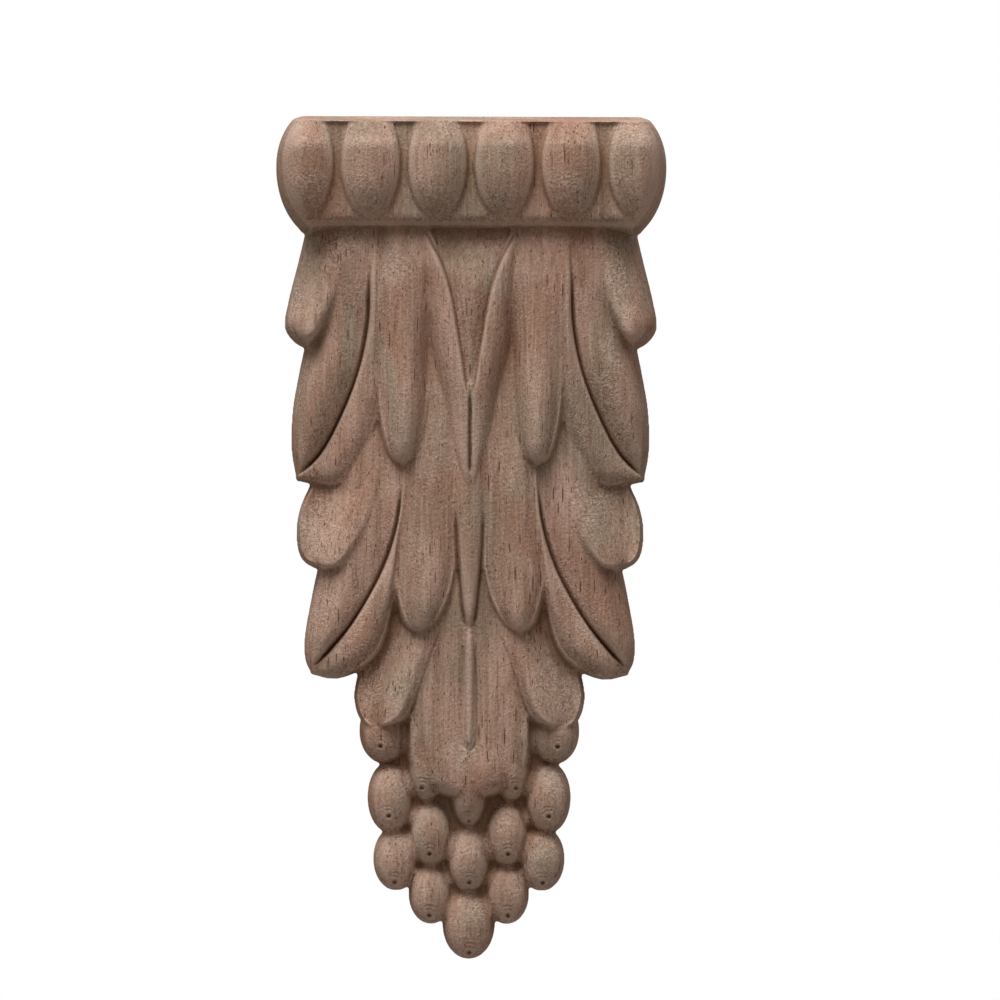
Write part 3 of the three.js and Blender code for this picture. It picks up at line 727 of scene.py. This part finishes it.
class Nodes:
    """Short calls for a material's node tree."""

    def __init__(self, name):
        self.material = bpy.data.materials.new(name)
        self.material.use_nodes = True
        self.tree = self.material.node_tree
        self.shader = self.tree.nodes["Principled BSDF"]

    def node(self, kind, inputs=None, **settings):
        node = self.tree.nodes.new(kind)
        for key, value in settings.items():
            setattr(node, key, value)
        for key, value in (inputs or {}).items():
            if isinstance(value, bpy.types.NodeSocket):
                self.tree.links.new(value, node.inputs[key])
            else:
                node.inputs[key].default_value = value
        return node

    def math(self, operation, a, b=0.0):
        return self.node("ShaderNodeMath", {0: a, 1: b}, operation=operation).outputs[0]

    def range(self, value, low, high, to_low=0.0, to_high=1.0):
        inputs = {"Value": value, "From Min": low, "From Max": high, "To Min": to_low, "To Max": to_high}
        return self.node("ShaderNodeMapRange", inputs, interpolation_type="SMOOTHSTEP").outputs[0]

    def mix(self, share, a, b):
        node = self.node("ShaderNodeMix", {0: share}, data_type="RGBA")
        for socket, value in ((node.inputs[6], a), (node.inputs[7], b)):
            if isinstance(value, bpy.types.NodeSocket):
                self.tree.links.new(value, socket)
            else:
                socket.default_value = (*value, 1)
        return node.outputs[2]

    def layered(self, color, layers):
        """Layers of colour over the first: what places each, where it starts and is full, its share."""
        for places, start, full, share, tint in layers:
            color = self.mix(self.range(places, start, full, 0, share), color, tint)
        return color

    def stored(self, name):
        """A field that is stored on the mesh's points."""
        return self.node("ShaderNodeAttribute", attribute_name=name).outputs["Fac"]

    def stretched(self, place, across, along):
        """The place in cells: so many cells to the millimetre across the grain and along it."""
        scale = (across / MM, across / MM, along / MM)
        return self.node("ShaderNodeVectorMath", {0: place, 1: scale}, operation="MULTIPLY").outputs[0]

    def noise(self, place, across, along, detail=2.0, roughness=0.5, distortion=0.0):
        inputs = {
            "Vector": self.stretched(place, across, along), "Scale": 1.0, "Detail": detail,
            "Roughness": roughness, "Distortion": distortion,
        }
        return self.node("ShaderNodeTexNoise", inputs).outputs["Fac"]

    def shifted(self, place, metres):
        """The place moved so far that a noise shows a part of itself that isn't seen elsewhere."""
        away = (metres,) * 3
        return self.node("ShaderNodeVectorMath", {0: place, 1: away}, operation="ADD").outputs[0]

    def rise(self):
        """How far the surface looks along Z, the way of the grain: above 0 if it looks up."""
        normal = self.node("ShaderNodeNewGeometry").outputs["Normal"]
        return self.node("ShaderNodeSeparateXYZ", {0: normal}).outputs["Z"]

    def specks(self, place, across, along, radius):
        """One long speck to a cell, from 0 outside to 1 inside."""
        core = 0.55
        inputs = {"Vector": self.stretched(place, across, along), "Scale": 1.0, "Randomness": 1.0}
        distance = self.node("ShaderNodeTexVoronoi", inputs, feature="F1").outputs["Distance"]
        return self.range(distance, radius * core, radius, 1.0, 0.0)


PINK_WOOD = (0.53, 0.335, 0.255)
GREY_WOOD = (0.34, 0.262, 0.19)
RED_WOOD = (0.37, 0.19, 0.125)
BROWN_WOOD = (0.35, 0.215, 0.145)
DARK_FIBRE = (0.2, 0.112, 0.075)
PALE_FUZZ = (0.62, 0.47, 0.39)
PORE = (0.11, 0.04, 0.024)
# Painted shade with some dust: the ochre that darkens the hollows and the ground under the head
HOLLOW_DUST_AND_SHADE = (0.28, 0.155, 0.068)
# Painted shade with some dust: the dark brown in the narrow creases
CREASE_SHADE_AND_DUST = (0.15, 0.062, 0.026)
# Partly burn from the cutter, partly painted shade: the dark brown at the bottoms of the pointed cuts
CUT_BURN_AND_SHADE = (0.075, 0.026, 0.009)
# Partly painted highlight, partly wear: the pale colour on sharp raised edges
EDGE_WEAR_AND_HIGHLIGHT = (0.62, 0.46, 0.37)


def grain_color(wood, place, fibres, mottle):
    """The wood's own colours: pink, grey and red zones under long bands, streaks and fibres."""
    zones = wood.noise(place, 0.055, 0.022, distortion=0.8)
    red_zones = wood.noise(wood.shifted(place, metres=0.3), 0.045, 0.03, distortion=0.5)
    bands = wood.noise(place, 0.4, 0.011, detail=3, roughness=0.6, distortion=0.25)
    streaks = wood.noise(place, 1.1, 0.035, detail=3, roughness=0.6, distortion=0.15)
    return wood.layered(PINK_WOOD, (
        (zones, 0.4, 0.6, 1, GREY_WOOD),
        (red_zones, 0.47, 0.62, 0.75, RED_WOOD),
        (bands, 0.4, 0.65, 0.65, BROWN_WOOD),
        (streaks, 0.5, 0.72, 0.5, DARK_FIBRE),
        (streaks, 0.5, 0.3, 0.35, PALE_FUZZ),
        (fibres, 0.4, 0.75, 0.45, DARK_FIBRE),
        (mottle, 0.5, 0.72, 0.4, PALE_FUZZ),
        (mottle, 0.5, 0.28, 0.35, DARK_FIBRE),
    ))


def torn_places_and_underside_light(wood, place):
    """Where fibres are torn here and there across the grain, and the under sides, whose pale fuzz is
    partly torn fibres and partly painted light.
    """
    zones = wood.range(wood.noise(place, 0.1, 0.06), 0.42, 0.58)
    rise = wood.rise()
    across_grain = wood.range(wood.math("ABSOLUTE", rise), 0, 0.14)
    # Painted light in part: the under sides get pale fuzz, which lightens them against their shade
    looks_down = wood.range(rise, -0.08, -0.4, 0, 0.8)
    return wood.math("MAXIMUM", wood.math("MULTIPLY", zones, across_grain), looks_down)


def wood_pores(wood, place):
    """Long pores that gather in zones and fainter short ones all over."""
    zones = wood.range(wood.noise(place, 0.14, 0.03), 0.4, 0.6)
    long_pores = wood.math("MULTIPLY", wood.specks(place, 1.1, 0.08, radius=0.22), zones)
    short_pores = wood.math("MULTIPLY", wood.specks(place, 1.3, 0.35, radius=0.18), 0.8)
    return wood.math("MAXIMUM", long_pores, short_pores)


def carved_color(wood, color):
    """What the carving adds to the colour: painted shade with some dust in the hollows and creases, a
    pale edge that is partly painted highlight and partly wear, and cut bottoms darkened partly by burn
    and partly by painted shade.
    """
    crease = wood.stored("crease")
    return wood.layered(color, (
        # Painted shade, with some dust, deepening into the hollows
        (wood.stored("recess"), 0.4, 2.8, 0.45, HOLLOW_DUST_AND_SHADE),
        # Painted shade, with some dust, in the narrow creases
        (crease, 0.1, 0.7, 0.4, CREASE_SHADE_AND_DUST),
        # Pale on sharp raised edges: partly painted highlight, partly wear
        (crease, -0.03, -0.2, 0.5, EDGE_WEAR_AND_HIGHLIGHT),
        # Darker with the cut's depth: partly burn, partly painted shade
        (wood.stored("pointed"), 0.3, 1.3, 0.9, CUT_BURN_AND_SHADE),
    ))


def bare_wood():
    """Unfinished machine-carved wood: grain along Z, dark pores, torn fibres, under sides paled partly
    as painted light, and creases and hollows darkened with painted shade and some dust.
    """
    wood = Nodes("bare_wood")
    place = wood.node("ShaderNodeTexCoord").outputs["Object"]
    fibres = wood.noise(place, 3.6, 0.16, detail=3, roughness=0.65)
    mottle = wood.noise(place, 1.9, 1.4, detail=3, roughness=0.7)
    fuzz = wood.noise(place, 1.5, 2.0, roughness=0.6)
    torn = torn_places_and_underside_light(wood, place)
    pores = wood_pores(wood, place)

    color = grain_color(wood, place, fibres, mottle)
    # Pale fuzz, partly torn fibres and partly painted light on the under sides
    pale_fuzz = wood.math("MULTIPLY", wood.range(fuzz, 0.48, 0.62), torn)
    color = wood.mix(wood.math("MULTIPLY", pale_fuzz, 0.6), color, PALE_FUZZ)
    color = wood.mix(wood.math("MULTIPLY", pores, 0.85), color, PORE)
    color = carved_color(wood, color)
    wood.tree.links.new(color, wood.shader.inputs["Base Color"])

    rough = wood.range(fibres, 0.2, 0.8, 0.66, 0.86)
    wood.tree.links.new(rough, wood.shader.inputs["Roughness"])
    wood.shader.inputs["Specular IOR Level"].default_value = 0.15

    # The finest relief, in millimetres: torn fibres, unevenness and fibres, with the pores sunk in
    height = 0.0
    torn_fuzz = wood.math("MULTIPLY", fuzz, torn)
    for field, most in ((torn_fuzz, 0.2), (mottle, 0.35), (fibres, 0.12), (pores, -0.12)):
        height = wood.math("ADD", height, wood.math("MULTIPLY", field, most))
    bump = wood.node("ShaderNodeBump", {"Height": height, "Strength": 1.0, "Distance": MM})
    wood.tree.links.new(bump.outputs["Normal"], wood.shader.inputs["Normal"])
    return wood.material


def plain(name, color):
    """One colour all over, hardly shining."""
    material = bpy.data.materials.new(name)
    material.use_nodes = True
    shader = material.node_tree.nodes["Principled BSDF"]
    shader.inputs["Base Color"].default_value = (*color, 1)
    shader.inputs["Roughness"].default_value = 0.8
    return material


# Stage, light and camera

def pale_floor():
    """A floor far below the piece, which only gives it a little light from below."""
    half = 1.0
    level = -1.2
    corners = [(-half, -half, level), (half, -half, level), (half, half, level), (-half, half, level)]
    mesh = bpy.data.meshes.new("floor")
    mesh.from_pydata(corners, [], [(0, 1, 2, 3)])
    floor = bpy.data.objects.new("floor", mesh)
    floor.data.materials.append(plain("pale_floor", (0.82, 0.82, 0.82)))
    bpy.context.collection.objects.link(floor)


def softbox(name, place, size, watts, spread):
    """A round soft lamp that looks at the middle of the piece."""
    lamp = bpy.data.lights.new(name, "AREA")
    lamp.shape = "DISK"
    lamp.size = size
    lamp.energy = watts
    lamp.spread = math.radians(spread)
    thing = bpy.data.objects.new(name, lamp)
    thing.location = place
    thing.rotation_euler = (-Vector(place)).to_track_quat("-Z", "Y").to_euler()
    bpy.context.collection.objects.link(thing)


def white_world(seen, low, high):
    """A white room: seen as plain white, and lighting the piece mostly from its ceiling."""
    warm = (1, 0.82, 0.68)
    world = bpy.data.worlds.new("white_room")
    world.use_nodes = True
    tree = world.node_tree
    direction = tree.nodes.new("ShaderNodeTexCoord").outputs["Generated"]
    parts = tree.nodes.new("ShaderNodeSeparateXYZ")
    tree.links.new(direction, parts.inputs[0])
    lighting = tree.nodes.new("ShaderNodeMix")
    lighting.data_type = "RGBA"
    lighting.inputs[6].default_value = (*(low * share for share in warm), 1)
    lighting.inputs[7].default_value = (high, high, high, 1)
    tree.links.new(parts.outputs["Z"], lighting.inputs[0])
    room = tree.nodes.new("ShaderNodeMix")
    room.data_type = "RGBA"
    room.inputs[7].default_value = (seen, seen, seen, 1)
    tree.links.new(tree.nodes.new("ShaderNodeLightPath").outputs["Is Camera Ray"], room.inputs[0])
    tree.links.new(lighting.outputs[2], room.inputs[6])
    tree.links.new(room.outputs[2], tree.nodes["Background"].inputs["Color"])
    bpy.context.scene.world = world


def camera():
    """The photograph's view: square on, from far off, a hair turned."""
    photo_width = 237.2 * MM
    centre = Vector((7.1 * MM, -4 * MM, 9.0 * MM))
    distance = 1.6
    roll = math.radians(-0.2)
    data = bpy.data.cameras.new("camera")
    data.lens = data.sensor_width * distance / photo_width
    thing = bpy.data.objects.new("camera", data)
    thing.location = centre + Vector((0, -distance, 0))
    thing.rotation_euler = (math.radians(90), roll, 0)
    bpy.context.collection.objects.link(thing)
    bpy.context.scene.camera = thing


camera()
white_world(seen=1.0, low=0.17, high=0.8)
pale_floor()
softbox("key", place=(-0.24, -0.5, 1.06), size=0.8, watts=3.5, spread=80)
bpy.context.scene.view_settings.view_transform = "Standard"

onlay = carved_onlay()
onlay.data.materials.append(bare_wood())
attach(onlay, "root")
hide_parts(NODE)
